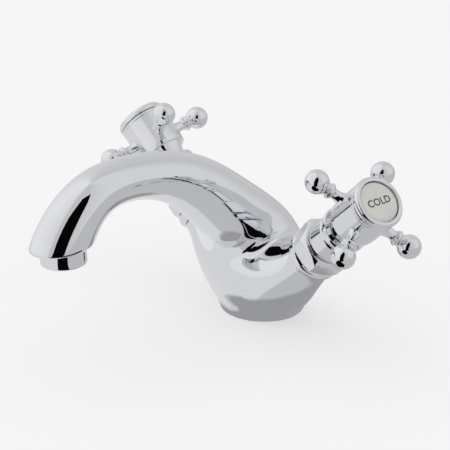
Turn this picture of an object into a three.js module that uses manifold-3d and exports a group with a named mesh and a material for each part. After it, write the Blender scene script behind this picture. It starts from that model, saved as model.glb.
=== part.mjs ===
// One-hole basin mixer: a cast body with an arched spout and two splayed valves,
// each turned by a cross handle with ball ends. Millimetres, +Z up.
// The origin is the centre of the round foot, on its underside; the spout points to -Y.

import * as THREE from 'three';
import { mergeVertices } from 'three/addons/utils/BufferGeometryUtils.js';
import Module from 'manifold-3d';

const wasm = await Module();
wasm.setup();

// ---- driving dimensions ---------------------------------------------------

const GAP = 0.3;                    // clearance between neighbouring pieces
const FOOT_RADIUS = 23;             // round foot of the casting
const VALVE_ELEVATION = 41.15;      // degrees, each valve axis above the horizontal
const VALVE_SPLAY = 3.22;           // degrees, each valve axis swung forwards of the X axis
const VALVE_ORIGIN = new THREE.Vector3(0, -0.15, 5.44);  // where the two valve axes meet
const HANDLE_TURN = { cold: -56.15, hot: -15.25 };       // degrees, first arm of each closed handle
const NUT_TURN = 3.85;              // degrees, first flat of each gland nut

// distances along a valve axis, measured from VALVE_ORIGIN
const SEAT = 34;                    // floor of the valve pocket in the casting
const PORT = 58;                    // end of the casting's arm
const NUT_START = 64.3;
const NUT_END = 75.3;
const NUT_CORNER = 16.17;           // radius over the nut's corners
const SLEEVE_END = 94;
const HUB_START = SLEEVE_END + GAP;
const ARM_PLANE = 111.8;            // plane of the four cross arms
const HUB_END = 124.6;
const CAP_FRONT = 128.6;

const PORT_BORE = 10.9;             // radius of the valve pocket
const HOUSING_RADIUS = 10.4;        // brass cartridge housing
const SPINDLE_RADIUS = 4;
const HUB_RADIUS = 13.9;
const BALL_RADIUS = 6.45;
const BALL_CENTRE = 29.5;           // from the valve axis
const INDEX_RADIUS = 11.1;

const OUTLET_Y = -133.8;            // vertical axis of the aerator
const OUTLET_BOTTOM = 66.9;
const OUTLET_RADIUS = 12;
const HOUSING_TOP = 80.8;           // of the aerator housing, inside the spout
const HOOD_CUT = 75.1;              // underside of the spout's tip
const WATERWAY = 8;                 // radius of the channel in the spout

// trunk and spout: centre of each section (y, z), then its half thickness and its half width
const SPOUT = [
  [0, 5, 21, 17],
  [-0.9, 20, 23.3, 17.5],
  [-3, 35, 25.5, 17.5],
  [-8, 45, 25.3, 17.2],
  [-15.5, 54.3, 22.6, 16.8],
  [-26, 64.4, 19.6, 16.2],
  [-40, 77.3, 16.5, 15.3],
  [-55.7, 89, 14.1, 14.4],
  [-73, 96.9, 12.6, 13.3],
  [-94.2, 100.3, 11.7, 12.8],
  [-111.4, 98.1, 12.3, 13],
  [-125.6, 88.3, 14.1, 14],
  [-134.3, 76, 16, 14.7],
  [-138, 68, 16.8, 15],
];
const WATERWAY_FIRST = 2;           // the channel runs from this section
const WATERWAY_LAST = 12;           // to this one

// bores in the underside of the foot
const INLET = { x: 8.6, y: 2.5, radius: 4.6, depth: 14 };
const STUD = { y: -10.5, radius: 4, depth: 14 };
const GASKET = { inner: 17.6, outer: 21.2, depth: 2 };

const SEAL_GROOVE = { low: 52, high: 54.4, floor: 8.9 };  // in the cartridge housing

const ROUND = 16;                   // facets round a turned piece
const FINE = 20;                    // facets round the larger ones

// ---- finishes -------------------------------------------------------------

const finish = (color, metalness, roughness) =>
  () => new THREE.MeshStandardMaterial({ color, metalness, roughness });
const chrome = finish('#dfe1e4', 1, 0.05);
const brass = finish('#b5954f', 1, 0.35);
const steel = finish('#b9bcc0', 1, 0.3);
const rubber = finish('#1d1d1f', 0, 0.8);
const ceramic = finish('#efece4', 0, 0.2);
const plastic = finish('#e4e6e8', 0, 0.4);

// ---- making and cutting solids --------------------------------------------

// A piece turned about Z from pairs of [radius, height].
function turned(profile, facets = ROUND) {
  const points = profile.map(([radius, height]) => new THREE.Vector2(radius, height));
  return new THREE.LatheGeometry(points, facets).rotateX(Math.PI / 2);
}

// A ring turned about Z: its profile closes on itself.
function ring(profile, facets = ROUND) {
  return turned([...profile, profile[0]], facets);
}

// A plain round bar along Z, from one height to another.
function bar(radius, from, to, facets = ROUND) {
  return turned([[0, from], [radius, from], [radius, to], [0, to]], facets);
}

// A round bar from one point in space to another.
function drill(radius, from, to, facets = 10) {
  const along = new THREE.Vector3().subVectors(to, from);
  const turn = new THREE.Quaternion().setFromUnitVectors(
    new THREE.Vector3(0, 0, 1), along.clone().normalize());
  return bar(radius, 0, along.length(), facets).applyQuaternion(turn).translate(...from);
}

function box(width, depth, height, x, y, z) {
  return new THREE.BoxGeometry(width, depth, height).translate(x, y, z);
}

// A skin through oval sections that lie across a curve in the plane x = 0.
function loft(stations, facets = 16, steps = 15) {
  const path = new THREE.CatmullRomCurve3(
    stations.map(([y, z]) => new THREE.Vector3(0, y, z)), false, 'centripetal');
  const girth = new THREE.CatmullRomCurve3(
    stations.map(([, , thick, wide]) => new THREE.Vector3(thick, wide, 0)));
  const spots = [];
  for (let i = 0; i <= steps; i++) {
    const t = i / steps;
    const centre = path.getPoint(t);
    const along = path.getTangent(t);
    const half = girth.getPoint(t);
    const across = new THREE.Vector3(0, along.z, -along.y);
    for (let j = 0; j < facets; j++) {
      const angle = 2 * Math.PI * j / facets;
      const spot = centre.clone().addScaledVector(across, half.x * Math.cos(angle));
      spot.x += half.y * Math.sin(angle);
      spots.push(spot);
    }
  }
  const index = [];
  for (let i = 0; i < steps; i++) {
    for (let j = 0; j < facets; j++) {
      const a = i * facets + j;
      const b = i * facets + (j + 1) % facets;
      index.push(a, a + facets, b, b, a + facets, b + facets);
    }
  }
  const foot = spots.push(path.getPoint(0)) - 1;
  const tip = spots.push(path.getPoint(1)) - 1;
  for (let j = 0; j < facets; j++) {
    const next = (j + 1) % facets;
    index.push(foot, j, next);
    index.push(tip, steps * facets + next, steps * facets + j);
  }
  const geometry = new THREE.BufferGeometry().setFromPoints(spots);
  geometry.setIndex(index);
  return geometry;
}

function solid(geometry) {
  const bare = geometry.clone();
  bare.deleteAttribute('normal');
  bare.deleteAttribute('uv');
  const merged = mergeVertices(bare, 1e-4);
  const mesh = new wasm.Mesh({
    numProp: 3,
    vertProperties: new Float32Array(merged.attributes.position.array),
    triVerts: new Uint32Array(merged.index.array),
  });
  return new wasm.Manifold(mesh);
}

function geometryOf(manifold) {
  const mesh = manifold.getMesh();
  const geometry = new THREE.BufferGeometry();
  geometry.setAttribute('position', new THREE.BufferAttribute(mesh.vertProperties, 3));
  geometry.setIndex(new THREE.BufferAttribute(mesh.triVerts, 1));
  return geometry;
}

const cut = (first, ...tools) =>
  geometryOf(tools.reduce((rest, tool) => rest.subtract(solid(tool)), solid(first)));

function piece(name, geometry, material) {
  const mesh = new THREE.Mesh(geometry, material());
  mesh.name = name;
  return mesh;
}

// ---- where the valves stand -----------------------------------------------

const radians = THREE.MathUtils.degToRad;

// Unit vector along a valve: side is +1 for cold and -1 for hot.
function valveAxis(side) {
  const level = Math.cos(radians(VALVE_ELEVATION));
  return new THREE.Vector3(
    side * level * Math.cos(radians(VALVE_SPLAY)),
    -level * Math.sin(radians(VALVE_SPLAY)),
    Math.sin(radians(VALVE_ELEVATION)));
}

// Matrix that stands a piece made along Z on the valve's axis.
// Its X turns to the direction, square to the axis, nearest to the front (-Y).
function valveFrame(side) {
  const axis = valveAxis(side);
  const front = new THREE.Vector3(0, -1, 0);
  front.addScaledVector(axis, -front.dot(axis)).normalize();
  const across = new THREE.Vector3().crossVectors(axis, front);
  return new THREE.Matrix4().makeBasis(front, across, axis).setPosition(VALVE_ORIGIN);
}

const alongValve = (side, distance) =>
  valveAxis(side).multiplyScalar(distance).add(VALVE_ORIGIN);

// ---- body -----------------------------------------------------------------

function foot() {
  return turned([
    [0, 0], [FOOT_RADIUS - 0.6, 0], [FOOT_RADIUS, 0.6], [22.9, 4],
    [21.7, 9], [19.5, 16], [17, 26], [13, 36], [0, 42],
  ], FINE);
}

// One valve arm: it swells into the foot and ends in a plain face at the port.
function castArm(side) {
  return turned([
    [0, 2], [15, 2], [18.6, 10], [19.3, 20], [18.6, 30],
    [16.8, 40], [14.8, 50], [13.9, 55], [13.6, PORT], [0, PORT],
  ], FINE).applyMatrix4(valveFrame(side));
}

// Pocket for the cartridge, with a wider chamber where the water leaves it.
function valvePocket(side) {
  return turned([
    [0, SEAT - 5], [4, SEAT - 5], [4, SEAT], [PORT_BORE, SEAT], [PORT_BORE, 41],
    [11.9, 42], [11.9, 49], [PORT_BORE, 50], [PORT_BORE, PORT + 1], [0, PORT + 1],
  ], ROUND).applyMatrix4(valveFrame(side));
}

function inletWay(side) {
  const mouth = new THREE.Vector3(side * INLET.x, INLET.y, INLET.depth - 2);
  return drill(3.4, mouth, alongValve(side, SEAT - 3));
}

function mixingWay(side) {
  return drill(4.5, alongValve(side, 45.5), new THREE.Vector3(0, -5, 38));
}

function waterway() {
  const sections = SPOUT.slice(WATERWAY_FIRST, WATERWAY_LAST + 1);
  return loft(sections.map(([y, z]) => [y, z, WATERWAY, WATERWAY]), 10, 12);
}

function bodyCasting() {
  const outside = [castArm(1), castArm(-1), loft(SPOUT)]
    .reduce((sum, part) => sum.add(solid(part)), solid(foot()));
  const insides = [
    box(120, 120, 20, 0, 0, -10),                                        // below the foot
    box(60, 60, 30, 0, OUTLET_Y, HOOD_CUT - 15),                         // below the tip
    bar(OUTLET_RADIUS + GAP, HOOD_CUT - 1, HOUSING_TOP + GAP, FINE).translate(0, OUTLET_Y, 0),
    waterway(),
    bar(STUD.radius, -1, STUD.depth, 16).translate(0, STUD.y, 0),
    ring([[GASKET.inner, -1], [GASKET.outer, -1], [GASKET.outer, GASKET.depth],
      [GASKET.inner, GASKET.depth]], FINE),
  ];
  for (const side of [1, -1]) {
    insides.push(valvePocket(side));
    insides.push(bar(INLET.radius, -1, INLET.depth, 16).translate(side * INLET.x, INLET.y, 0));
    insides.push(inletWay(side));
    insides.push(mixingWay(side));
  }
  return geometryOf(insides.reduce((rest, tool) => rest.subtract(solid(tool)), outside));
}

function baseGasket() {
  const top = GASKET.depth - GAP;
  return ring([[GASKET.inner + GAP, 0], [GASKET.outer - GAP, 0],
    [GASKET.outer - GAP, top], [GASKET.inner + GAP, top]], FINE);
}

// ---- outlet ---------------------------------------------------------------

function aeratorHousing() {
  const low = OUTLET_BOTTOM;
  return ring([[9.6, low + 0.4], [10.4, low], [11.5, low], [OUTLET_RADIUS, low + 0.6],
    [OUTLET_RADIUS, HOUSING_TOP], [8, HOUSING_TOP], [8, 79], [9.6, 79]], FINE)
    .translate(0, OUTLET_Y, 0);
}

function aeratorInsert() {
  const low = OUTLET_BOTTOM + 1.4;
  const spray = bar(9.3, low, 76.2, ROUND);
  const holes = [];
  for (let i = 0; i < 6; i++) {
    const angle = i * Math.PI / 3;
    holes.push(bar(1.6, low - 1, 77, 8).translate(5.6 * Math.cos(angle), 5.6 * Math.sin(angle), 0));
  }
  return cut(spray, bar(1.6, low - 1, 77, 8), ...holes).translate(0, OUTLET_Y, 0);
}

function aeratorWasher() {
  return ring([[6.2, 76.5], [9.3, 76.5], [9.3, 78.7], [6.2, 78.7]]).translate(0, OUTLET_Y, 0);
}

// ---- fixed valve pieces, made along Z -------------------------------------

function collarRing() {
  return ring([[PORT_BORE, PORT + GAP], [13.9, PORT + GAP], [15, 59.6], [15.3, 61.2],
    [15, 62.9], [14.2, NUT_START - GAP], [PORT_BORE, NUT_START - GAP]], FINE);
}

// Hexagon, 28 mm across its flats, with both ends chamfered.
function glandNut() {
  const hexagon = bar(NUT_CORNER, NUT_START, NUT_END, 6).rotateZ(radians(NUT_TURN));
  const chamfer = ring([[PORT_BORE, NUT_START], [14, NUT_START], [16.2, NUT_START + 2],
    [16.2, NUT_END - 3.2], [13.2, NUT_END], [PORT_BORE, NUT_END]], FINE);
  return geometryOf(solid(hexagon).intersect(solid(chamfer)));
}

function bonnetSleeve() {
  return ring([[PORT_BORE, NUT_END + GAP], [12, NUT_END + GAP], [12, 87.6], [11.4, 88.2],
    [11.4, 89.6], [12.7, 91.4], [13.1, 92.3], [13, 93.4], [12.4, SLEEVE_END],
    [9.2, SLEEVE_END], [9.2, 91], [PORT_BORE, 90]], FINE);
}

function valveHousing() {
  const shell = ring([
    [8.2, SEAT + GAP], [HOUSING_RADIUS, SEAT + GAP],
    [HOUSING_RADIUS, SEAL_GROOVE.low], [SEAL_GROOVE.floor, SEAL_GROOVE.low],
    [SEAL_GROOVE.floor, SEAL_GROOVE.high], [HOUSING_RADIUS, SEAL_GROOVE.high],
    [HOUSING_RADIUS, 76], [8.6, 78], [8.6, 92.6], [6.4, 92.6], [6.4, 88],
    [SPINDLE_RADIUS + GAP, 88], [SPINDLE_RADIUS + GAP, 50.4], [8.2, 50.4],
  ]);
  return cut(shell, box(30, 7, 4.4, 0, 0, 46.2));
}

function housingSeal() {
  const { low, high, floor } = SEAL_GROOVE;
  return ring([[floor + GAP, low + GAP], [10.3, low + GAP], [10.6, 53.2],
    [10.3, high - GAP], [floor + GAP, high - GAP]]);
}

const seatSeal = () => ring([[4.2, SEAT + GAP], [7.8, SEAT + GAP], [7.8, 36.7], [4.2, 36.7]]);
const stemSeal = () => ring([[4.3, 88.3], [6.1, 88.3], [6.1, 90.8], [4.3, 90.8]]);

// Ceramic disc with two opposite ports, each a quarter of a ring.
function ceramicDisc(from, to, turn) {
  const outline = new THREE.Shape().absarc(0, 0, 7.8, 0, 2 * Math.PI, false);
  for (const start of [turn, turn + Math.PI]) {
    const port = new THREE.Path();
    port.absarc(0, 0, 5.8, start - 0.62, start + 0.62, false);
    port.absarc(0, 0, 2.2, start + 0.62, start - 0.62, true);
    port.closePath();
    outline.holes.push(port);
  }
  return new THREE.ExtrudeGeometry(outline, { depth: to - from, bevelEnabled: false, curveSegments: 8 })
    .translate(0, 0, from);
}

// ---- moving pieces, made along Z ------------------------------------------

// Driver flange on the disc, plain stem, then twelve splines for the handle.
function spindle() {
  const stem = turned([[0, 43.6], [7.4, 43.6], [7.4, 46.6], [SPINDLE_RADIUS, 47.2],
    [SPINDLE_RADIUS, 97], [3.7, 97.6], [3.7, 109.4], [0, 109.4]]);
  const splines = [];
  for (let i = 0; i < 6; i++) {
    splines.push(box(8.6, 0.9, 10.6, 0, 0, 103.3).rotateZ(i * Math.PI / 6));
  }
  const fluted = splines.reduce((sum, rib) => sum.add(solid(rib)), solid(stem));
  return geometryOf(fluted.subtract(solid(bar(1.7, 99, 112, 10))));
}

const thrustRing = () => ring([[SPINDLE_RADIUS + GAP, 47.6], [7.6, 47.6], [7.6, 50.1],
  [SPINDLE_RADIUS + GAP, 50.1]]);

// Barrel with a bell-shaped neck, a rimmed back and a fine ring at its front.
function hub() {
  const barrel = ring([
    [4.7, HUB_START], [9.6, HUB_START], [10.1, 98], [11.7, 102.6],
    [12.4, 102.4], [13.1, 101.5], [13.7, 102.6],
    [HUB_RADIUS, 110], [HUB_RADIUS, 122.5], [13.6, 122.9], [14.1, 123.3],
    [14.1, 124.2], [13.8, HUB_END], [8, HUB_END], [8, 111.4],
    [1.9, 111.4], [1.9, 109.8], [4.7, 109.8],
  ], FINE);
  const sockets = [];
  for (let i = 0; i < 4; i++) {
    sockets.push(bar(2.2, 9.3, 16, 8).rotateY(Math.PI / 2).rotateZ(i * Math.PI / 2)
      .translate(0, 0, ARM_PLANE));
  }
  return cut(barrel, ...sockets);
}

// Cross arm: threaded end, flared neck, bead, thin ring and ball, made along Z and laid along X.
function crossArm() {
  const ball = [];
  for (let i = 1; i <= 7; i++) {
    const angle = Math.PI * (i / 8);
    ball.push([BALL_RADIUS * Math.sin(angle), BALL_CENTRE - BALL_RADIUS * Math.cos(angle)]);
  }
  return turned([
    [0, 9.6], [1.9, 9.6], [1.9, 14.2], [3.7, 14.2], [3, 16], [2.75, 18.2], [3.1, 20.2],
    [4.2, 20.9], [4.4, 21.8], [4, 22.7], [3.2, 23], [3.6, 23.6],
    ...ball.filter(([radius, height]) => height > 24.2), [0, BALL_CENTRE + BALL_RADIUS],
  ], 12).rotateY(Math.PI / 2).translate(0, 0, ARM_PLANE);
}

// Bezel that screws into the hub's front and frames the index disc.
function bezelCap() {
  return turned([
    [0, 124.2], [5.4, 124.2], [5.4, 116], [7.6, 116], [7.6, HUB_END + GAP], [13.8, HUB_END + GAP],
    [14.2, 125.4], [14.2, 127.1], [13.7, 127.6], [13.2, 128.2], [12.3, CAP_FRONT],
    [INDEX_RADIUS + GAP, 128.2], [INDEX_RADIUS + GAP, 125.8], [0, 125.8],
  ], FINE);
}

function indexDisc() {
  return turned([[0, 126.1], [INDEX_RADIUS, 126.1], [INDEX_RADIUS, 127.3], [INDEX_RADIUS - 0.5, 127.6],
    [0, 127.8]], FINE);
}

function handleScrew() {
  const screw = turned([[0, 101], [1.4, 101], [1.4, 111.7], [3.8, 111.7], [3.8, 113.4],
    [3.2, 114.2], [0, 114.2]], 16);
  return cut(screw, box(4.4, 0.9, 3, 0, 0, 114.3), box(0.9, 4.4, 3, 0, 0, 114.3));
}

// ---- one valve with its handle --------------------------------------------

function valve(prefix, side) {
  const stand = new THREE.Group();
  stand.applyMatrix4(valveFrame(side));
  const add = (name, geometry, material) =>
    stand.add(piece(`${prefix}_${name}`, geometry, material));
  add('collar_ring', collarRing(), chrome);
  add('gland_nut', glandNut(), chrome);
  add('bonnet_sleeve', bonnetSleeve(), chrome);
  add('valve_housing', valveHousing(), brass);
  add('housing_seal', housingSeal(), rubber);
  add('seat_seal', seatSeal(), rubber);
  add('stem_seal', stemSeal(), rubber);
  add('lower_disc', ceramicDisc(37, 40, 0), ceramic);

  // the handle and everything that turns with it
  const turning = new THREE.Group();
  turning.rotation.z = radians(HANDLE_TURN[prefix]);
  const turn = (name, geometry, material) =>
    turning.add(piece(`${prefix}_${name}`, geometry, material));
  const closed = Math.PI / 2 - radians(HANDLE_TURN[prefix]);
  turn('upper_disc', ceramicDisc(40.3, 43.3, closed), ceramic);
  turn('spindle', spindle(), brass);
  turn('thrust_ring', thrustRing(), steel);
  turn('hub', hub(), chrome);
  for (let i = 0; i < 4; i++) {
    turn(`arm_${i + 1}`, crossArm().rotateZ(i * Math.PI / 2), chrome);
  }
  turn('handle_screw', handleScrew(), steel);
  turn('bezel_cap', bezelCap(), chrome);
  turn('index_disc', indexDisc(), ceramic);
  stand.add(turning);
  return stand;
}

// ---- the whole mixer ------------------------------------------------------

const mixer = new THREE.Group();
mixer.add(piece('body_casting', bodyCasting(), chrome));
mixer.add(piece('base_gasket', baseGasket(), rubber));
mixer.add(piece('aerator_housing', aeratorHousing(), chrome));
mixer.add(piece('aerator_insert', aeratorInsert(), plastic));
mixer.add(piece('aerator_washer', aeratorWasher(), rubber));
mixer.add(valve('cold', 1));
mixer.add(valve('hot', -1));

export default mixer;
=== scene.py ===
# %% [markdown]
# # A one-hole basin mixer with cross handles
# The real mixer is a chrome-plated brass casting with two valves screwed into it.
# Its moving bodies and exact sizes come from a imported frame, which stays as it is.
# Each piece that the eye meets is then made again here with a fine surface, in metres,
# in the same place. Polished chrome shows every facet, so the surfaces are built with
# exact normals instead of relying on shading tricks.

import math

import bpy
import numpy as np
from mathutils import Matrix, Vector


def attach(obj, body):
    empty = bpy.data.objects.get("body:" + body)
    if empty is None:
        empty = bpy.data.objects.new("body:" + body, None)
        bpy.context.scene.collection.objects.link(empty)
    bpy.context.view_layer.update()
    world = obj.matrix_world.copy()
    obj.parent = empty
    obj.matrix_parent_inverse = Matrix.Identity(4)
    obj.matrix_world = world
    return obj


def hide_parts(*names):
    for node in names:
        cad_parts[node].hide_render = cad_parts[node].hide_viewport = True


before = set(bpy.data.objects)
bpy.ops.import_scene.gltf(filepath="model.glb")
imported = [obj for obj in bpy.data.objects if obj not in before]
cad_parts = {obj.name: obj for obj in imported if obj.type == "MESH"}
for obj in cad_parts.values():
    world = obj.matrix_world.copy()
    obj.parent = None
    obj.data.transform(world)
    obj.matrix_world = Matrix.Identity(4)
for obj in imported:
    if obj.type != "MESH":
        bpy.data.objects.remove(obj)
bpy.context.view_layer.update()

# %% [markdown]
# ## Where the valves stand
# Both valves lean outwards from one point low in the body. A piece turned on a lathe is
# described by a radius and a distance along its valve, both in millimetres, so one pair
# of directions square to each axis is all that is needed to place it.

# %% Valve directions
MM = 0.001
ELEVATION, SPLAY = math.radians(41.15), math.radians(3.22)
ORIGIN = np.array([0.0, -0.15, 5.44])
SIDES = {"cold": 1, "hot": -1}
HANDLE_TURN = {"cold": -56.15, "hot": -15.25}


def valve_axis(side):
    level = math.cos(ELEVATION)
    return np.array([side * level * math.cos(SPLAY), -level * math.sin(SPLAY), math.sin(ELEVATION)])


def valve_frame(side, turn=0.0):
    """Columns: first direction (turned from the front, in degrees), second direction, axis."""
    axis = valve_axis(side)
    front = np.array([0.0, -1.0, 0.0])
    front -= axis * (front @ axis)
    front /= np.linalg.norm(front)
    across = np.cross(axis, front)
    t = math.radians(turn)
    first = front * math.cos(t) + across * math.sin(t)
    return np.stack([first, np.cross(axis, first), axis], axis=1)


print("cold valve axis:", valve_axis(1).round(4), "hot valve axis:", valve_axis(-1).round(4))

# %% [markdown]
# ## Adding a piece
# A mesh gets its points in the frame's own coordinates, so its object stays at the origin.
# Normals are given for each point: on a mirror finish, the slightest error in a normal
# shows as a kink in a reflection.


# %% A mesh with exact normals
def add_piece(name, points, faces, normals, body, nodes, material, slot):
    mesh = bpy.data.meshes.new(name)
    mesh.from_pydata((np.asarray(points) * MM).tolist(), [], [list(map(int, f)) for f in faces])
    mesh.validate()
    mesh.polygons.foreach_set("use_smooth", [True] * len(mesh.polygons))
    if normals is not None:
        mesh.normals_split_custom_set_from_vertices(np.asarray(normals).tolist())
    mesh.materials.append(material)
    piece = bpy.data.objects.new(name, mesh)
    bpy.context.scene.collection.objects.link(piece)
    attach(piece, body)
    if nodes:
        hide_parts(*nodes)
    print(f"{name}: {len(mesh.vertices)} points, {len(mesh.polygons)} faces")
    return piece


# %% [markdown]
# ## Colours and nodes
# Colours are written as the sRGB hex values a painter's chart gives, and one function
# makes them linear. Another adds a node, sets it up and links it in one go.


# %% Helpers for materials
def hex_colour(code):
    """'#rrggbb' in sRGB to linear RGBA."""
    parts = [int(code[i:i + 2], 16) / 255 for i in (1, 3, 5)]
    return [c / 12.92 if c <= 0.04045 else ((c + 0.055) / 1.055) ** 2.4 for c in parts] + [1.0]


def add_node(tree, kind, settings=None, stops=(), numbered=None, **named):
    """A node with its settings and links.

    An input is a value or another node's output, given by its name or, where names repeat, by
    its number. A colour ramp also takes its stops: places from 0 to 1 and hex colours."""
    node = tree.nodes.new(kind)
    for key, value in (settings or {}).items():
        setattr(node, key, value)
    for key, value in {**(numbered or {}), **named}.items():
        socket = node.inputs[key.replace("_", " ") if isinstance(key, str) else key]
        if isinstance(value, bpy.types.NodeSocket):
            tree.links.new(value, socket)
        else:
            socket.default_value = value
    for i, (place, code) in enumerate(stops):
        marks = node.color_ramp.elements
        mark = marks[i] if i < len(marks) else marks.new(place)
        mark.position, mark.color = place, hex_colour(code)
    return node


def new_material(name):
    """An empty material, its node tree and the object's own coordinates."""
    material = bpy.data.materials.new(name)
    material.use_nodes = True
    material.node_tree.nodes.clear()
    place = add_node(material.node_tree, "ShaderNodeTexCoord").outputs["Object"]
    return material, material.node_tree, place


def per_mm(size):
    """Texture scale for a pattern whose features are this many millimetres apart."""
    return 1.0 / (size * MM)


print("mid grey, linear:", [round(c, 3) for c in hex_colour("#808080")])

# %% [markdown]
# ## Polished chrome plate
# A decorative chrome plate is a fraction of a micrometre of chromium over bright nickel on
# polished brass. The eye sees a cool, nearly perfect mirror. What keeps it from looking
# computed is what handling leaves: a faint film that makes some parts a little less sharp,
# and the very slight waviness of a surface polished by hand on a wheel.

# %% Chrome
WAVE_MM = 14.0      # one wave of hand polishing
WAVE_DEPTH = 0.0004
FILM_MM = 22.0      # patches of film left by drying water


def chrome_plate():
    material, tree, place = new_material("polished chrome plate")
    film = add_node(tree, "ShaderNodeTexNoise", Vector=place, Scale=per_mm(FILM_MM), Detail=3.0)
    rough = add_node(tree, "ShaderNodeMapRange", Value=film.outputs["Fac"], From_Min=0.35, From_Max=0.75,
                     To_Min=0.022, To_Max=0.05)
    tint = add_node(tree, "ShaderNodeValToRGB", Fac=film.outputs["Fac"],
                    stops=((0.3, "#E8E9EC"), (0.8, "#E4E6EA")))
    wave = add_node(tree, "ShaderNodeTexNoise", Vector=place, Scale=per_mm(WAVE_MM), Detail=1.0)
    bump = add_node(tree, "ShaderNodeBump", Height=wave.outputs["Fac"], Strength=0.02,
                    Distance=WAVE_DEPTH)
    shader = add_node(tree, "ShaderNodeBsdfPrincipled", Base_Color=tint.outputs["Color"], Metallic=1.0,
                      Roughness=rough.outputs["Result"], Normal=bump.outputs["Normal"])
    add_node(tree, "ShaderNodeOutputMaterial", Surface=shader.outputs["BSDF"])
    return material


chrome = chrome_plate()
print(chrome.name, "with", len(chrome.node_tree.nodes), "nodes")

# %% [markdown]
# ## The finishes inside and under the mixer
# Bare machined brass, stainless steel, moulded nitrile rubber, lapped alumina discs and
# the glazed porcelain of the index discs. Each gets the fine texture its making leaves:
# turning lines on brass and steel, a satin moulded skin on rubber, fired glaze on porcelain.


# %% Finishes with a base colour, a roughness band and a fine texture
def finish(name, colours, roughness, grain_mm, bump_mm, metallic=0.0, stretch=1.0, coat=0.0):
    material, tree, place = new_material(name)
    squeeze = add_node(tree, "ShaderNodeMapping", Vector=place, Scale=(1.0, 1.0, stretch))
    grain = add_node(tree, "ShaderNodeTexNoise", Vector=squeeze.outputs["Vector"],
                     Scale=per_mm(grain_mm), Detail=4.0)
    colour = add_node(tree, "ShaderNodeValToRGB", Fac=grain.outputs["Fac"],
                      stops=((0.35, colours[0]), (0.7, colours[1])))
    rough = add_node(tree, "ShaderNodeMapRange", Value=grain.outputs["Fac"], To_Min=roughness[0],
                     To_Max=roughness[1])
    bump = add_node(tree, "ShaderNodeBump", Height=grain.outputs["Fac"], Strength=0.4,
                    Distance=bump_mm * MM)
    shader = add_node(tree, "ShaderNodeBsdfPrincipled", Base_Color=colour.outputs["Color"],
                      Metallic=metallic, Roughness=rough.outputs["Result"], Coat_Weight=coat,
                      Coat_Roughness=0.08, Normal=bump.outputs["Normal"])
    add_node(tree, "ShaderNodeOutputMaterial", Surface=shader.outputs["BSDF"])
    return material


brass = finish("machined brass", ("#C6A560", "#B9954D"), (0.22, 0.38), 0.8, 0.01, 1.0, 6.0)
steel = finish("turned stainless steel", ("#C4C6C9", "#B4B7BB"), (0.2, 0.35), 0.8, 0.01, 1.0, 6.0)
rubber = finish("moulded nitrile rubber", ("#1B1B1D", "#232325"), (0.55, 0.75), 0.6, 0.02)
alumina = finish("lapped alumina", ("#F1EFEA", "#ECE9E2"), (0.12, 0.2), 1.5, 0.002)
acetal = finish("moulded white acetal", ("#E6E7E8", "#DEE0E2"), (0.3, 0.45), 1.2, 0.01)
porcelain = finish("satin glazed porcelain", ("#CFCDC8", "#D4D3CF"), (0.3, 0.4), 9.0, 0.01, coat=0.2)
ink = finish("fired dark enamel", ("#303133", "#3A3B3D"), (0.4, 0.55), 1.0, 0.005)
print([m.name for m in (brass, steel, rubber, alumina, acetal, porcelain, ink)])

# %% [markdown]
# ## A skin round a solid described by distances
# The casting flows from foot to arms to spout in one piece, with soft fillets where they
# meet. Modelling that by hand means stitching patches; a fused set of tubes leaves creases.
# Instead the solid is described by a function that is negative inside and positive outside,
# shapes are blended with a rounded minimum, and a net of points is drawn over its surface.
# The points are then pulled exactly onto the surface and take their normals from it.


# %% Blends
def blend_min(a, b, width):
    """The lesser of two distances, rounded where they are about the same."""
    gap = np.maximum(width - np.abs(a - b), 0) / width
    return np.minimum(a, b) - gap ** 3 * width / 6


def blend_max(a, b, width):
    return -blend_min(-a, -b, width)


def slope(field, points, reach=0.03):
    """Direction in which the field grows, and how fast."""
    parts = []
    for i in range(3):
        shift = np.zeros(3)
        shift[i] = reach
        parts.append((field(points + shift) - field(points - shift)) / (2 * reach))
    return np.stack(parts, axis=1)


print("two surfaces 1 mm away, blended over 6 mm:", blend_min(1.0, 1.0, 6.0), "mm away")

# %% [markdown]
# ## The net
# The space round a piece is divided into small cubes. Each cube that the surface passes
# through gets one point, and each cube's edge that it cuts gets a face joining the points of
# the four cubes round it. Far from the surface nothing is worked out, which saves most of
# the time. Evening the points out between pulls keeps the faces nearly square.

# %% Cubes and their points
FAR_OFF = 1e3
CORNERS = [(i, j, k) for i in (0, 1) for j in (0, 1) for k in (0, 1)]


def near_blocks(field, low, counts, step, block):
    """Values on the fine grid, worked out only where the surface can be near."""
    values = np.full([c + 1 for c in counts], FAR_OFF)
    blocks = [int(math.ceil((c + 1) / block)) for c in counts]
    ids = np.stack(np.meshgrid(*[np.arange(b) for b in blocks], indexing="ij"), -1).reshape(-1, 3)
    centres = np.asarray(low) + (ids * block + (block - 1) / 2) * step
    close = ids[np.abs(field(centres)) < block * step * 1.25]
    inner = np.stack(np.meshgrid(*[np.arange(block)] * 3, indexing="ij"), -1).reshape(-1, 3)
    cells = (close[:, None, :] * block + inner[None]).reshape(-1, 3)
    cells = cells[(cells < np.array(values.shape)).all(axis=1)]
    values[tuple(cells.T)] = field(np.asarray(low) + cells * step)
    return values


def at_corner(grid, corner, counts):
    """The grid's values at one corner of every cube."""
    return grid[tuple(slice(c, c + n) for c, n in zip(corner, counts))]


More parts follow.
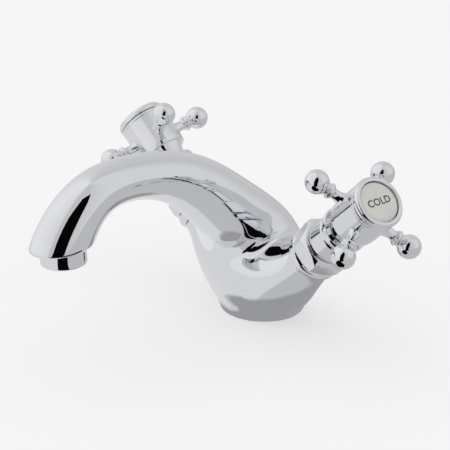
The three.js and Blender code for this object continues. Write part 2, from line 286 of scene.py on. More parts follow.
def cube_points(values, cubes):
    """For each cube, the middle of the places where the surface cuts its edges."""
    summed, share = np.zeros((len(cubes), 3)), np.zeros(len(cubes))
    for corner in CORNERS:
        for axis in range(3):
            if corner[axis]:
                continue
            other = list(corner)
            other[axis] = 1
            a, b = values[tuple((cubes + corner).T)], values[tuple((cubes + other).T)]
            cut = (a < 0) != (b < 0)
            t = np.where(cut, a / np.where(cut, a - b, 1), 0)
            spot = cubes + corner + np.outer(t, np.eye(3)[axis])
            summed[cut] += spot[cut]
            share[cut] += 1
    return summed / share[:, None]


print("a cube has", len(CORNERS), "corners")


# %% Faces and the finished skin
def cube_faces(inside, number, counts):
    """Round each cut edge, a face that joins the points of its four cubes."""
    faces = []
    for axis in range(3):
        u, v = (axis + 1) % 3, (axis + 2) % 3
        first, second = [slice(None)] * 3, [slice(None)] * 3
        first[axis], second[axis] = slice(0, -1), slice(1, None)
        a, b = inside[tuple(first)], inside[tuple(second)]
        for start_inside in (True, False):
            edges = np.argwhere((a != b) & (a == start_inside))
            edges = edges[(edges[:, u] > 0) & (edges[:, v] > 0)]
            edges = edges[(edges[:, u] < counts[u]) & (edges[:, v] < counts[v])]
            ring = []
            for du, dv in ((-1, -1), (0, -1), (0, 0), (-1, 0)):
                cube = edges.copy()
                cube[:, u] += du
                cube[:, v] += dv
                ring.append(number[tuple(cube.T)])
            quad = np.stack(ring if start_inside else ring[::-1], axis=1)
            faces.append(quad[(quad >= 0).all(axis=1)])
    return np.concatenate(faces)


def relaxed(points, faces):
    """Each point moved half way to the middle of its neighbours, so that the net is even."""
    summed, share = np.zeros_like(points), np.zeros(len(points))
    for i in range(4):
        a, b = faces[:, i], faces[:, (i + 1) % 4]
        np.add.at(summed, a, points[b])
        np.add.at(summed, b, points[a])
        np.add.at(share, a, 1)
        np.add.at(share, b, 1)
    middle = summed / np.maximum(share, 1)[:, None]
    return points + 0.5 * (middle - points)


def skin(field, low, high, step, block=4, pulls=3):
    """Points, faces and normals of the surface where the field is zero."""
    counts = [int(math.ceil((h - l) / step)) for l, h in zip(low, high)]
    values = near_blocks(field, low, counts, step, block)
    inside = values < 0
    total = sum(at_corner(inside, c, counts).astype(int) for c in CORNERS)
    known = np.logical_and.reduce([at_corner(values < FAR_OFF, c, counts) for c in CORNERS])
    crossed = (total > 0) & (total < len(CORNERS)) & known
    number = np.full(crossed.shape, -1)
    number[crossed] = np.arange(crossed.sum())
    points = np.asarray(low) + cube_points(values, np.argwhere(crossed)) * step
    faces = cube_faces(inside, number, counts)
    for i in range(pulls):
        if i:
            points = relaxed(points, faces)
        g = slope(field, points)
        points = points - g * (field(points) / np.maximum((g ** 2).sum(1), 0.2))[:, None]
    g = slope(field, points)
    return points, faces, g / np.linalg.norm(g, axis=1)[:, None]


ball = skin(lambda p: np.linalg.norm(p, axis=1) - 5, (-6, -6, -6), (6, 6, 6), 1.0)
print("a trial ball of 5 mm radius gets", len(ball[0]), "points and", len(ball[1]), "faces")

# %% [markdown]
# ## The casting's parts
# The trunk and the spout are one oval bar that follows a curve: deep and narrow at the foot,
# slender at the crest, swelling again to the hood over the outlet. Each station below gives
# its centre (y, z) and half its depth and width. The arms and the foot are turned shapes,
# given as a distance along their axis and a radius. Between the arms, under the spout, the
# body swells forward, and an egg-shaped solid gives that.

# %% Stations of the casting
SPOUT = [
    (1, 5, 20, 16), (3.1, 20, 19.3, 17), (2.1, 35, 20, 17.5), (-4.6, 47, 19.6, 17.2),
    (-13.8, 56.5, 18.8, 16.8), (-25.3, 66, 18.7, 16.2), (-39, 78.4, 17.2, 15.5),
    (-55.2, 89.8, 14.8, 14.4), (-73, 96.9, 12.6, 13.3), (-94.2, 100.3, 11.65, 12.8),
    (-111.4, 98.1, 12.3, 13), (-125.6, 88.3, 14.1, 14), (-134.3, 76, 15.95, 14.7),
    (-138, 68, 16.7, 15),
]
ARM = [(0, 14), (10, 18.6), (20, 19.3), (30, 18.6), (40, 16.8), (50, 14.8), (55, 13.9), (58, 13.6)]
FOOT = [(0, 23), (4, 22.9), (9, 21.7), (16, 19.5), (26, 17), (36, 13)]
PORT = 58.0                         # where each arm ends, along its valve
CHEST = (0.0, -9.0, 27.0)           # middle of the swelling between the arms, under the spout
CHEST_SIZE = (25.0, 19.0, 19.0)
HOOD = 75.1                         # height of the hood's rim over the outlet
OUTLET_Y = -133.8


class Curve:
    """A natural cubic curve through given values."""

    def __init__(self, places, values):
        self.t, self.p = np.asarray(places, float), np.asarray(values, float)
        n, h = len(self.t), np.diff(self.t)
        left, right = np.zeros((n, n)), np.zeros((n, self.p.shape[1]))
        left[0, 0] = left[-1, -1] = 1
        for i in range(1, n - 1):
            left[i, i - 1:i + 2] = h[i - 1], 2 * (h[i - 1] + h[i]), h[i]
            right[i] = 6 * ((self.p[i + 1] - self.p[i]) / h[i] - (self.p[i] - self.p[i - 1]) / h[i - 1])
        self.m = np.linalg.solve(left, right)

    def at(self, u, order=0):
        k = np.clip(np.searchsorted(self.t, u, side="right") - 1, 0, len(self.t) - 2)
        h = (self.t[k + 1] - self.t[k])[:, None]
        a = (self.t[k + 1] - u)[:, None] / h
        b, p, m = 1 - a, self.p, self.m
        if order == 0:
            return a * p[k] + b * p[k + 1] + ((a ** 3 - a) * m[k] + (b ** 3 - b) * m[k + 1]) * h * h / 6
        if order == 1:
            return (p[k + 1] - p[k]) / h + ((3 * b * b - 1) * m[k + 1] - (3 * a * a - 1) * m[k]) * h / 6
        return a * m[k] + b * m[k + 1]


stations = np.array(SPOUT, float)
strides = np.linalg.norm(np.diff(stations[:, :2], axis=0), axis=1)
spout_curve = Curve(np.r_[0, np.cumsum(strides)] / strides.sum(), stations)
arm_curve = Curve([h for h, r in ARM], [(r,) for h, r in ARM])
foot_curve = Curve([h for h, r in FOOT], [(r,) for h, r in FOOT])
print("length of the spout's middle line, mm:", round(strides.sum(), 1))


# %% Distance to the spout
def step_up(x, start, end):
    t = np.clip((x - start) / (end - start), 0, 1)
    return t * t * (3 - 2 * t)


def spout_distance(p):
    marks = np.linspace(0, 1, 180)
    line = spout_curve.at(marks)[:, :2]
    out = np.empty(len(p))
    for i in range(0, len(p), 40000):
        out[i:i + 40000] = spout_part(p[i:i + 40000], marks, line)
    return out


def spout_part(p, marks, line):
    yz = p[:, 1:]
    u = marks[((line ** 2).sum(1) - 2 * yz @ line.T).argmin(1)]
    for _ in range(3):
        first, second = spout_curve.at(u, 1)[:, :2], spout_curve.at(u, 2)[:, :2]
        away = spout_curve.at(u)[:, :2] - yz
        speed = (first * first).sum(1)
        bend = np.maximum(speed + (away * second).sum(1), 0.2 * speed)
        u = np.clip(u - (away * first).sum(1) / bend, 0, 1)
    station = spout_curve.at(u)
    along = spout_curve.at(u, 1)[:, :2]
    along /= np.linalg.norm(along, axis=1)[:, None]
    away = yz - station[:, :2]
    depth = away[:, 0] * along[:, 1] - away[:, 1] * along[:, 0]
    past = (away * along).sum(1)
    a, b = station[:, 2], station[:, 3]
    k0 = np.sqrt((p[:, 0] / b) ** 2 + (depth / a) ** 2) + 1e-9
    k1 = np.sqrt((p[:, 0] / b ** 2) ** 2 + (depth / a ** 2) ** 2) + 1e-9
    d = k0 * (k0 - 1) / k1
    return np.where(np.abs(past) > 1e-3, np.sqrt(np.maximum(d, 0) ** 2 + past ** 2) + np.minimum(d, 0), d)


inside_trunk = np.array([[0.0, 0.0, 20.0]])
print("from a point inside the trunk to its side, mm:", spout_distance(inside_trunk).round(1))


# %% Distances to the arms, the chest and the foot
ARM_SHIFT = 1.6         # the arms sit this much further back between their roots and ports


def turned_distance(radius, height, curve):
    ends = curve.t[0], curve.t[-1]
    u = np.clip(height, *ends)
    rise = np.where((height < ends[0]) | (height > ends[1]), 0, curve.at(u, 1)[:, 0])
    return (radius - curve.at(u)[:, 0]) / np.sqrt(1 + rise ** 2)


def along_and_out(p, side):
    q = p - ORIGIN
    height = q @ valve_axis(side)
    return height, np.linalg.norm(q - height[:, None] * valve_axis(side), axis=1)


def arm_distance(p, side):
    height, _ = along_and_out(p, side)
    q = p.copy()
    q[:, 1] += ARM_SHIFT * step_up(height, 4, 20) * (1 - step_up(height, 38, 56))
    height, radius = along_and_out(q, side)
    d = turned_distance(radius, height, arm_curve)
    return blend_max(blend_max(d, height - PORT, 1.0), -(height + 6), 2.0)


def chest_distance(p):
    q = (p - np.array(CHEST)) / np.array(CHEST_SIZE)
    reach = np.linalg.norm(q, axis=1) + 1e-9
    return reach * (reach - 1) / (np.linalg.norm(q / np.array(CHEST_SIZE), axis=1) + 1e-9)


def foot_distance(p):
    d = turned_distance(np.hypot(p[:, 0], p[:, 1]), p[:, 2], foot_curve)
    return blend_max(d, p[:, 2] - FOOT[-1][0], 6.0)


print("foot radius, mm:", FOOT[0][1], "and arm port radius, mm:", ARM[-1][1])


# %% [markdown]
# ## One casting
# The arms meet with a wide blend that takes the chest in. The spout grows out of them with
# a narrower blend in front, which makes a crease beside its root, and a broad web behind.
# Then come the machined pockets: one for each valve, the recess over the aerator, the
# sockets for the tails and the stud under the foot, and the groove for the gasket.


# %% The casting from outside
ARM_BLEND, FOOT_BLEND, RIM_BLEND, EDGE_BLEND = 20.0, 7.0, 4.0, 0.8
FRONT_BLEND, BACK_BLEND, LOW_BLEND = 13, 30, 6


def casting_outside(p):
    arms = blend_min(arm_distance(p, 1), arm_distance(p, -1), ARM_BLEND)
    arms = blend_min(arms, chest_distance(p), ARM_BLEND)
    spout = spout_distance(p)
    spout = np.where(p[:, 1] < -100, blend_max(spout, HOOD - p[:, 2], RIM_BLEND), spout)
    width = FRONT_BLEND + (BACK_BLEND - FRONT_BLEND) * step_up(p[:, 1], -14, 16)
    width = LOW_BLEND + (width - LOW_BLEND) * step_up(p[:, 2], 12, 38)
    body = blend_min(blend_min(arms, spout, width), foot_distance(p), FOOT_BLEND)
    return blend_max(body, -p[:, 2], EDGE_BLEND)


over_crest = np.array([[0.0, -94.2, 112.0]])
print("from a point over the crest to the casting, mm:", casting_outside(over_crest).round(2))

# %% Pockets and the finished casting
OUTLET_RECESS = (12.3, 60, 81.1)    # radius, and where it starts and ends along its axis
VALVE_POCKET = (10.9, 34, 70)
TAIL_SOCKET, TAIL_X, TAIL_Y = (4.6, -9, 14), 8.6, 2.5
STUD_SOCKET, STUD_Y = (4.0, -9, 14), -10.5
GROOVE_RADIUS, GROOVE_HALF_WIDTH, GROOVE_DEPTH = 19.4, 1.8, 2
CUT_BLEND = 0.6
NET_MM = 1.0


def bore(radius, height, size, low, high):
    return blend_max(blend_max(radius - size, low - height, 0.4), height - high, 0.4)


def pockets(p):
    yield bore(np.hypot(p[:, 0], p[:, 1] - OUTLET_Y), p[:, 2], *OUTLET_RECESS)
    for side in (1, -1):
        height, radius = along_and_out(p, side)
        yield bore(radius, height, *VALVE_POCKET)
        yield bore(np.hypot(p[:, 0] - side * TAIL_X, p[:, 1] - TAIL_Y), p[:, 2], *TAIL_SOCKET)
    yield bore(np.hypot(p[:, 0], p[:, 1] - STUD_Y), p[:, 2], *STUD_SOCKET)
    across = np.abs(np.hypot(p[:, 0], p[:, 1]) - GROOVE_RADIUS) - GROOVE_HALF_WIDTH
    yield blend_max(across, p[:, 2] - GROOVE_DEPTH, 0.3)


def casting(p):
    d = casting_outside(p)
    for pocket in pockets(p):
        d = blend_max(d, -pocket, CUT_BLEND)
    return d


shape = skin(casting, (-58, -156, -2.5), (58, 30, 115), NET_MM)
add_piece("casting", *shape, "mixer_body", ["body_casting"], chrome, "polished_chrome")

# %% [markdown]
# ## Turned pieces
# Rings, sleeves, hubs, caps and arms are all turned on a lathe, so each is a profile spun
# round an axis. No real edge is perfectly sharp: every corner of a profile is given a small
# radius, and the corner's arc hands its exact normals to the mesh.


# %% Rounded profiles
def corner_arc(p, ta, turn, back, fine):
    """Points and normals of the arc that rounds a corner which turns from direction ta."""
    radius = back / math.tan(turn / 2)
    first = np.array([ta[1], -ta[0]])
    centre = p - ta * back - first * radius
    steps = max(2, int(math.ceil(abs(math.degrees(turn)) / fine)))
    for k in range(steps + 1):
        c, s = math.cos(turn * k / steps), math.sin(turn * k / steps)
        normal = np.array([first[0] * c - first[1] * s, first[0] * s + first[1] * c])
        yield centre + normal * radius, normal


def rounded(corners, closed=True, fine=14.0):
    """Corners of [radius, distance, corner radius] to points and normals along the profile."""
    pts = [np.array(c[:2], float) for c in corners]
    out = []
    n = len(pts)
    for i, p in enumerate(pts):
        if not closed and i in (0, n - 1):
            other = pts[1] - p if i == 0 else p - pts[-2]
            t = other / np.linalg.norm(other)
            out.append((p, np.array([t[1], -t[0]])))
            continue
        before, after = p - pts[i - 1], pts[(i + 1) % n] - p
        la, lb = np.linalg.norm(before), np.linalg.norm(after)
        ta, tb = before / la, after / lb
        turn = math.atan2(ta[0] * tb[1] - ta[1] * tb[0], ta @ tb)
        want = (corners[i][2] if len(corners[i]) > 2 else 0.15) * abs(math.tan(turn / 2))
        back = min(want, 0.499 * la, 0.499 * lb)
        if back < 1e-6:
            out.append((p, np.array([ta[1], -ta[0]])))
            continue
        out += corner_arc(p, ta, turn, back, fine)
    return out


print("a rounded square has", len(rounded([(1, 0, 0.2), (2, 0, 0.2), (2, 1, 0.2), (1, 1, 0.2)])), "points")


# %% Spinning and placing a profile
def spun(profile, closed=True, round_steps=96):
    """Points, faces and normals of a profile spun round the third axis."""
    angles = np.linspace(0, 2 * math.pi, round_steps, endpoint=False)
    spin = np.stack([np.cos(angles), np.sin(angles)], axis=1)
    points, normals, rows = [], [], []
    for (radius, height), (out, up) in profile:
        if radius < 1e-6:
            rows.append([len(points)] * round_steps)
            points.append((0, 0, height))
            normals.append((0, 0, 1 if up >= 0 else -1))
            continue
        rows.append(list(range(len(points), len(points) + round_steps)))
        points += [(radius * c, radius * s, height) for c, s in spin]
        normals += [(out * c, out * s, up) for c, s in spin]
    faces = []
    pairs = zip(rows, rows[1:] + rows[:1]) if closed else zip(rows, rows[1:])
    for low, high in pairs:
        for j in range(round_steps):
            k = (j + 1) % round_steps
            face = [low[j], low[k], high[k], high[j]]
            face = [v for i, v in enumerate(face) if v != face[i - 1]]
            if len(face) > 2:
                faces.append(face)
    return np.array(points, float), faces, np.array(normals, float)


def on_valve(shape, side, turn=0.0):
    """Points made along the third axis, put on a valve."""
    points, faces, normals = shape
    basis = valve_frame(side, turn)
    return points @ basis.T + ORIGIN, faces, normals @ basis.T


def upright(shape, x, y):
    """Points made along the third axis, moved sideways."""
    points, faces, normals = shape
    return points + np.array([x, y, 0]), faces, normals


trial_disc = rounded([(0, 0), (5, 0, 0.2), (5, 1, 0.2), (0, 1)], False)
print("a trial disc has", len(spun(trial_disc, False)[0]), "points")


# %% [markdown]
# ## Fixed rings of a valve
# Between the casting and the handle stand a rounded collar, the hexagonal gland nut and the
# sleeve that covers the cartridge. They don't turn. The sleeve ends in a small flange with a
# cove behind it, which shows as a dark line under the handle.

# %% Collars and sleeves
COLLAR = [(10.9, 58.3, 0.2), (13.5, 58.3, 0.3), (15.2, 59.3, 2.2), (15.3, 61.4, 3), (15.1, 63.2, 1.8),
          (13.8, 64.0, 0.3), (10.9, 64.0, 0.2)]
SLEEVE = [(10.9, 75.6, 0.2), (12, 75.6, 0.3), (12, 87.4, 0.8), (11.3, 88.2, 0.8), (11.3, 89.8, 1.2),
          (12.9, 91.2, 0.8), (13.1, 92.6, 1.2), (12.7, 94, 0.4), (9.2, 94, 0.2), (9.2, 91, 0.2),
          (10.9, 90, 0.2)]
for name, side in SIDES.items():
    for piece, node, profile in (("collar", "collar_ring", COLLAR), ("sleeve", "bonnet_sleeve", SLEEVE)):
        add_piece(f"{name}_{piece}", *on_valve(spun(rounded(profile)), side), "mixer_body",
                  [f"{name}_{node}"], chrome, "polished_chrome")

# %% [markdown]
# ## Gland nuts
# A real nut is a hexagon whose ends are turned to a cone, which leaves a curved line on each
# flat. Cutting a six-sided bar with a cone gives that line by itself, so the nut is described
# by distances too: a hexagon and a turned shape, whichever is the tighter.

# %% Gland nuts
NUT_FLAT, NUT_BORE = 14.0, 10.9
NUT_FROM, NUT_TO = 64.3, 75.3
NUT_TURN = 3.85
LOW_FACE_RADIUS, LOW_FLARE = 14.0, 1.0          # the cone starts here and widens so fast
HIGH_FACE_RADIUS, HIGH_FLARE = 13.4, 0.9
NUT_NET_MM = 0.45


def cone(radius, start, flare, rise):
    return (radius - start - flare * rise) / math.sqrt(1 + flare ** 2)


def gland_nut(p):
    radius = np.hypot(p[:, 0], p[:, 1])
    angle = np.arctan2(p[:, 1], p[:, 0])
    nearest = np.round(angle / (math.pi / 3)) * (math.pi / 3)
    d = radius * np.cos(angle - nearest) - NUT_FLAT
    d = blend_max(d, cone(radius, LOW_FACE_RADIUS, LOW_FLARE, p[:, 2] - NUT_FROM), 0.35)
    d = blend_max(d, cone(radius, HIGH_FACE_RADIUS, HIGH_FLARE, NUT_TO - p[:, 2]), 0.35)
    for end in (NUT_FROM - p[:, 2], p[:, 2] - NUT_TO, NUT_BORE - radius):
        d = blend_max(d, end, 0.3)
    return d


nut = skin(gland_nut, (-17.5, -17.5, 63), (17.5, 17.5, 76.5), NUT_NET_MM)
for name, side in SIDES.items():
    add_piece(f"{name}_nut", *on_valve(nut, side, NUT_TURN), "mixer_body", [f"{name}_gland_nut"],
              chrome, "polished_chrome")

# %% [markdown]
# ## Cross handles
# The hub is a barrel with a bell-shaped neck towards the body, a rim round its hollow back
# and two fine rings at its front. Four turned arms screw into it, each with a flared root, a
# bead, a thin ring and a ball. A domed bezel screws into the front and holds the porcelain.

# %% Hub and bezel profiles
HUB = [(4.7, 94.3, 0.1), (9.6, 94.3, 0.4), (10.1, 98, 6), (11.7, 102.6, 0.3), (12.3, 102.6, 0.2),
       (12.9, 101.6, 0.6), (13.6, 102.3, 0.6), (13.9, 105, 12), (13.9, 122.6, 0.3), (13.65, 122.8, 0.15),
       (14.1, 123.1, 0.4), (14.1, 124.3, 0.4), (13.75, 124.6, 0.2),
       (8, 124.6, 0.1), (8, 111.4, 0.1), (1.9, 111.4, 0.1), (1.9, 109.8, 0.1), (4.7, 109.8, 0.1)]
BEZEL = [(0, 124.2), (5.4, 124.2, 0.1), (5.4, 116, 0.1), (7.6, 116, 0.1), (7.6, 124.9, 0.1),
         (13.7, 124.9, 0.2), (14.2, 125.3, 0.4), (14.2, 127.0, 0.4), (13.75, 127.3, 0.3),
         (13.4, 128.3, 1.0), (12.4, 128.65, 0.6), (11.4, 128.3, 0.4), (11.3, 125.8, 0.1), (0, 125.8)]
DISC_FRONT = 127.8
DISC = [(0, 126.1), (11.1, 126.1, 0.2), (11.1, 127.3, 0.5), (9.5, 127.7, 6), (0, DISC_FRONT)]
print("length of the handle along its valve, mm:", round(BEZEL[10][1] - HUB[0][1], 1))

# %% Arm profile
BALL_RADIUS, BALL_AT = 6.45, 29.5
BALL_FACET = 15         # the ball is a turned polygon whose corners are rounded to a circle
ARM_PLANE = 111.8
STEM = [(0, 9.6), (1.9, 9.6, 0.1), (1.9, 12.6, 0.1), (3.9, 13.2, 0.3), (3.2, 15, 5), (2.7, 17.6, 6)]
BEAD = [(2.9, 19.6, 2), (3.9, 20.4, 0.5), (4.35, 21.2, 0.7), (4.3, 22.2, 0.6), (3.5, 22.7, 0.3),
        (3.1, 23.0, 0.2), (3.65, 23.4, 0.3), (3.6, 24.0, 0.3)]


def arm_profile():
    corners = STEM + BEAD
    reach = BALL_RADIUS / math.cos(math.radians(BALL_FACET / 2))
    for i in range(2, 12):
        angle = math.radians(22.5 + BALL_FACET * i)
        spot = (reach * math.sin(angle), BALL_AT - reach * math.cos(angle), 99.0)
        if spot[1] > BEAD[-1][1] + 0.3 and spot[0] > 0:
            corners.append(spot)
    return corners + [(0, BALL_AT + BALL_RADIUS)]


def lying_arm(side, turn):
    points, faces, normals = spun(rounded(arm_profile(), closed=False), closed=False, round_steps=64)
    lay = np.array([[0, 0, 1], [0, 1, 0], [-1, 0, 0]], float)
    points = points @ lay.T + np.array([0, 0, ARM_PLANE])
    return on_valve((points, faces, normals @ lay.T), side, turn)


print("across two balls, mm:", 2 * (BALL_AT + BALL_RADIUS))

# %% The two handles
ROUND_PIECES = [("barrel", "hub", HUB, True, chrome, "polished_chrome"),
                ("bezel", "bezel_cap", BEZEL, False, chrome, "polished_chrome"),
                ("porcelain", "index_disc", DISC, False, porcelain, "index_ceramic")]
for name, side in SIDES.items():
    handle, turn = f"{name}_handle", HANDLE_TURN[name]
    for piece, node, profile, closed, material, slot in ROUND_PIECES:
        shape = on_valve(spun(rounded(profile, closed), closed), side, turn)
        add_piece(f"{name}_{piece}", *shape, handle, [f"{name}_{node}"], material, slot)
    for i in range(4):
        add_piece(f"{name}_ball_arm_{i + 1}", *lying_arm(side, turn + 90 * i), handle,
                  [f"{name}_arm_{i + 1}"], chrome, "polished_chrome")

# %% [markdown]
# ## The words on the porcelain
# Each index disc says what its valve gives. The words are fired on in dark enamel, so they
# are thin flat letters standing a few hundredths of a millimetre proud of the glaze.

# %% Words
LETTER_MM = 5.4
STROKE_MM = 0.07        # how much the strokes are thickened all round
ENAMEL_MM = 0.03        # half the enamel's thickness
SUNK_MM = 0.02
WORD_TURN = {"cold": 177.5, "hot": 2.5}


def word_on_disc(name, side):
    curve = bpy.data.curves.new(f"{name}_letters", "FONT")
    curve.body = name.upper()
    curve.size = LETTER_MM * MM
    curve.align_x, curve.align_y = "CENTER", "CENTER"
    curve.extrude = ENAMEL_MM * MM
    curve.offset = STROKE_MM * MM
    letters = bpy.data.objects.new(f"{name}_letters", curve)
    bpy.context.scene.collection.objects.link(letters)
    bpy.context.view_layer.update()
    mesh = bpy.data.meshes.new_from_object(letters)
    bpy.data.objects.remove(letters)
    basis = valve_frame(side, WORD_TURN[name])
    move = Matrix(basis.tolist()).to_4x4()
    move.translation = Vector(((ORIGIN + valve_axis(side) * (DISC_FRONT - SUNK_MM)) * MM).tolist())
    mesh.transform(move)
    mesh.materials.clear()
    mesh.materials.append(ink)
    word = bpy.data.objects.new(f"{name}_word", mesh)
    bpy.context.scene.collection.objects.link(word)
    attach(word, f"{name}_handle")
    return word


for name, side in SIDES.items():
    print(word_on_disc(name, side).name)

# %% [markdown]
# ## The outlet
# A turned chrome housing screws up into the hood, with a moulded insert inside it that mixes
# air into the water through a ring of small holes.

# %% Aerator housing and insert
HOUSING = [(9.6, 67.3, 0.2), (10.3, 66.9, 0.3), (11.5, 66.9, 0.5), (12, 67.5, 0.5), (12, 80.8, 0.2),
           (8, 80.8, 0.2), (8, 79, 0.2), (9.6, 79, 0.2)]
INSERT_RADIUS, INSERT_FROM, INSERT_TO = 9.25, 68.3, 76.2
HOLE_RADIUS, HOLE_RING = 1.6, 5.6
INSERT_NET_MM = 0.4


def spray_insert(p):
    radius = np.hypot(p[:, 0], p[:, 1])
    d = blend_max(blend_max(radius - INSERT_RADIUS, INSERT_FROM - p[:, 2], 0.3), p[:, 2] - INSERT_TO, 0.3)
    holes = radius - HOLE_RADIUS
    for i in range(6):
        x, y = HOLE_RING * math.cos(i * math.pi / 3), HOLE_RING * math.sin(i * math.pi / 3)
        holes = np.minimum(holes, np.hypot(p[:, 0] - x, p[:, 1] - y) - HOLE_RADIUS)
    return blend_max(d, -holes, 0.4)


add_piece("outlet_housing", *upright(spun(rounded(HOUSING)), 0, OUTLET_Y), "mixer_body",
          ["aerator_housing"], chrome, "polished_chrome")
insert = skin(spray_insert, (-10.5, -10.5, 67), (10.5, 10.5, 77.5), INSERT_NET_MM)
add_piece("spray_insert", *upright(insert, 0, OUTLET_Y), "mixer_body", ["aerator_insert"], acetal,
          "white_plastic")

# %% [markdown]
# ## Pieces kept from the frame
# The cartridges, seals, spindles and screws inside already have their true shape, so they
# keep it and only get the finish of their material.

# %% Finishes of the inner pieces
INNER = {"valve_housing": brass, "spindle": brass, "housing_seal": rubber, "seat_seal": rubber,
         "stem_seal": rubber, "lower_disc": alumina, "upper_disc": alumina, "thrust_ring": steel,
         "handle_screw": steel}


def give(node, material):
    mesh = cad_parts[node].data
    mesh.materials.clear()
    mesh.materials.append(material)


for name in SIDES:
    for part, material in INNER.items():
        give(f"{name}_{part}", material)
give("base_gasket", rubber)
give("aerator_washer", rubber)
for node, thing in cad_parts.items():
    if thing.hide_render:
        give(node, chrome)
print("kept nodes:", sum(not o.hide_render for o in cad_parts.values()))

# %% [markdown]
# ## Studio
# The mixer stands on a wide pale floor under soft even light. Chrome has no colour of its own
# and is drawn by what stands round it: a tent that is brightest on the spout's side, a table
# top that darkens close to the foot, and one dark opening low in front of the camera. These
# surroundings are plain cards that only mirror finishes see.


# %% Shade by direction
def by_azimuth(tree, vector):
    """0 to 1 round the upright axis: 0 and 1 are behind, 0.5 is in front, 0.75 is to the right."""
    parts = add_node(tree, "ShaderNodeSeparateXYZ", Vector=vector)
    front = add_node(tree, "ShaderNodeMath", {"operation": "MULTIPLY"},
                     numbered={0: parts.outputs["Y"], 1: -1.0})
    angle = add_node(tree, "ShaderNodeMath", {"operation": "ARCTAN2"},
                     numbered={0: parts.outputs["X"], 1: front.outputs[0]})
    share = add_node(tree, "ShaderNodeMapRange", Value=angle.outputs[0], From_Min=-math.pi, From_Max=math.pi)
    return share.outputs["Result"]


TENT = ((0.0, "#D0D0D0"), (0.111, "#D7D7D7"), (0.194, "#E2E2E2"), (0.25, "#F3F3F3"), (0.333, "#F7F7F7"),
        (0.5, "#EDEDED"), (0.565, "#E7E7E7"), (0.572, "#D0D0D0"), (0.722, "#D3D3D3"), (0.833, "#E5E5E5"),
        (0.93, "#E2E2E2"), (1.0, "#D0D0D0"))
TABLE = ((0.0, "#C8C8C8"), (0.15, "#C8C8C8"), (0.19, "#E0E0E0"), (0.25, "#E5E5E5"), (0.56, "#E5E5E5"),
         (0.572, "#CACACA"), (0.8, "#C8C8C8"), (1.0, "#C8C8C8"))
print("stops round the tent:", len(TENT), "and round the table top:", len(TABLE))


# %% Floor and cards
def flat_shape(name, corners):
    mesh = bpy.data.meshes.new(name)
    mesh.from_pydata([tuple(c * MM for c in corner) for corner in corners], [], [tuple(range(len(corners)))])
    card = bpy.data.objects.new(name, mesh)
    bpy.context.scene.collection.objects.link(card)
    return card


def paint(card):
    """A new material for a card: its tree and coordinates."""
    material, tree, place = new_material(card.name)
    card.data.materials.append(material)
    return tree, place


def only_for_mirrors(card):
    card.visible_camera = card.visible_diffuse = card.visible_shadow = False
    card.visible_transmission = card.visible_volume_scatter = False


WIDE = 6000
FLOOR_GLOW = 0.55       # share of the floor's brightness that doesn't depend on what stands on it
floor = flat_shape("floor", [(x * WIDE, y * WIDE, 0) for x, y in ((-1, -1), (1, -1), (1, 1), (-1, 1))])
tree, place = paint(floor)
mottle = add_node(tree, "ShaderNodeTexNoise", Vector=place, Scale=4.0, Detail=2.0)
pale = add_node(tree, "ShaderNodeValToRGB", Fac=mottle.outputs["Fac"],
                stops=((0.0, "#A8A8A8"), (1.0, "#AAAAAA")))
shader = add_node(tree, "ShaderNodeBsdfPrincipled", Base_Color=pale.outputs["Color"], Roughness=1.0,
                  Specular_IOR_Level=0.0, Emission_Color=hex_colour("#FFFFFF"),
                  Emission_Strength=FLOOR_GLOW)
add_node(tree, "ShaderNodeOutputMaterial", Surface=shader.outputs["BSDF"])
floor.visible_glossy = False
print("floor, m across:", floor.dimensions.x)

# %% Table top that mirrors see
TABLE_DOWN = -2         # just under the floor
SHADE_MM = (37, 42)     # it is greyer inside this distance from the shade's centre
SHADE_CENTRE = (12, 2, TABLE_DOWN)
table = flat_shape("table_top", [(v.co.x / MM, v.co.y / MM, TABLE_DOWN) for v in floor.data.vertices])
tree, place = paint(table)
far = add_node(tree, "ShaderNodeValToRGB", Fac=by_azimuth(tree, place), stops=TABLE)
shifted = add_node(tree, "ShaderNodeVectorMath", {"operation": "SUBTRACT"},
                   numbered={0: place, 1: [v * MM for v in SHADE_CENTRE]})
reach = add_node(tree, "ShaderNodeVectorMath", {"operation": "LENGTH"}, Vector=shifted.outputs["Vector"])
near = add_node(tree, "ShaderNodeMapRange", Value=reach.outputs["Value"], From_Min=SHADE_MM[0] * MM,
                From_Max=SHADE_MM[1] * MM)
mix = add_node(tree, "ShaderNodeMix", {"data_type": "RGBA"}, Factor=near.outputs["Result"],
               numbered={6: hex_colour("#A6A6A8"), 7: far.outputs["Color"]})
shader = add_node(tree, "ShaderNodeEmission", Color=mix.outputs[2])
add_node(tree, "ShaderNodeOutputMaterial", Surface=shader.outputs["Emission"])
only_for_mirrors(table)
print("shade round the foot, mm:", SHADE_MM)

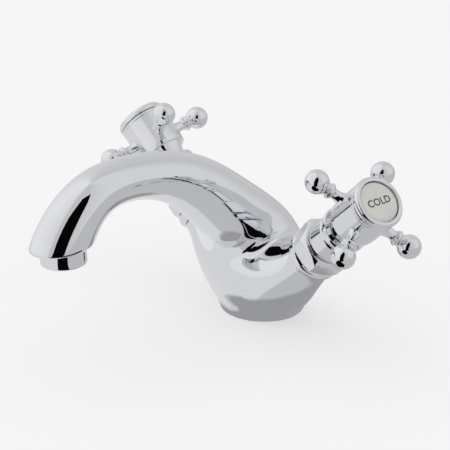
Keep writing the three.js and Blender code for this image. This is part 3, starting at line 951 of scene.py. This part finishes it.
# %% Dark opening in front of the camera
CAMERA_AZIMUTH = 49.37
AHEAD = np.array([math.sin(math.radians(CAMERA_AZIMUTH)), -math.cos(math.radians(CAMERA_AZIMUTH)), 0])
ASIDE = np.array([-AHEAD[1], AHEAD[0], 0])
OPENING_AHEAD = 340
LOW_OPENING = [(86, -10), (120, -80), (250, -178), (OPENING_AHEAD, -185), (OPENING_AHEAD, 10), (250, -30),
               (190, 20), (150, 50), (100, 40)]
HIGH_OPENING = [(-150, -1), (30, -1), (30, 100), (75, 200), (110, 340), (112, 560), (-20, 560), (-60, 450),
                (-110, 350), (-140, 200), (-150, 100)]
on_table = [tuple(AHEAD * a + ASIDE * b + (0, 0, -1)) for a, b in LOW_OPENING]
standing = [tuple(AHEAD * OPENING_AHEAD + ASIDE * b + (0, 0, c)) for b, c in HIGH_OPENING]
for name, corners in (("dark_opening_low", on_table), ("dark_opening", standing)):
    card = flat_shape(name, corners)
    tree, place = paint(card)
    shader = add_node(tree, "ShaderNodeEmission", Color=hex_colour("#060607"))
    add_node(tree, "ShaderNodeOutputMaterial", Surface=shader.outputs["Emission"])
    only_for_mirrors(card)
    print(name, "with", len(corners), "corners")

# %% World and light
world = bpy.data.worlds.new("white tent")
bpy.context.scene.world = world
world.use_nodes = True
tree = world.node_tree
tree.nodes.clear()
direction = add_node(tree, "ShaderNodeTexCoord").outputs["Generated"]
tent = add_node(tree, "ShaderNodeValToRGB", Fac=by_azimuth(tree, direction), stops=TENT)
background = add_node(tree, "ShaderNodeBackground", Color=tent.outputs["Color"])
add_node(tree, "ShaderNodeOutputWorld", Surface=background.outputs["Background"])

SOFTBOX_WATTS = 14.0
lamp = bpy.data.lights.new("overhead softbox", "AREA")
lamp.energy, lamp.size = SOFTBOX_WATTS, 3.0
softbox = bpy.data.objects.new("overhead softbox", lamp)
softbox.location = (0.0, -0.1, 2.2)
softbox.visible_glossy = False
bpy.context.scene.collection.objects.link(softbox)
print(lamp.name, lamp.energy, "W")

# %% [markdown]
# ## Camera
# A long lens about a metre away, a little above the handles and well round to the cold side,
# turned two degrees about its own axis.

# %% Camera
CAMERA_ELEVATION, CAMERA_ROLL = 22.16, -2.0
CAMERA_DISTANCE = 1036.2
LENS, SENSOR = 147.8, 36.0
LOOK_AT = Vector((-25.8, -4.0, 41.7))


def make_camera():
    a, e, r = (math.radians(v) for v in (CAMERA_AZIMUTH, CAMERA_ELEVATION, CAMERA_ROLL))
    back = Vector((math.sin(a) * math.cos(e), -math.cos(a) * math.cos(e), math.sin(e)))
    right = Vector((math.cos(a), math.sin(a), 0))
    up = back.cross(right)
    turned_right = right * math.cos(r) + up * math.sin(r)
    turned_up = up * math.cos(r) - right * math.sin(r)
    data = bpy.data.cameras.new("camera")
    data.lens, data.sensor_width = LENS, SENSOR
    data.clip_start, data.clip_end = 0.01, 50.0
    camera = bpy.data.objects.new("camera", data)
    basis = Matrix((turned_right, turned_up, back)).transposed().to_4x4()
    basis.translation = (LOOK_AT + back * CAMERA_DISTANCE) * MM
    camera.matrix_world = basis
    bpy.context.scene.collection.objects.link(camera)
    bpy.context.scene.camera = camera
    return camera


camera = make_camera()
bpy.context.scene.view_settings.view_transform = "Standard"
print("camera at", [round(v, 3) for v in camera.matrix_world.translation])
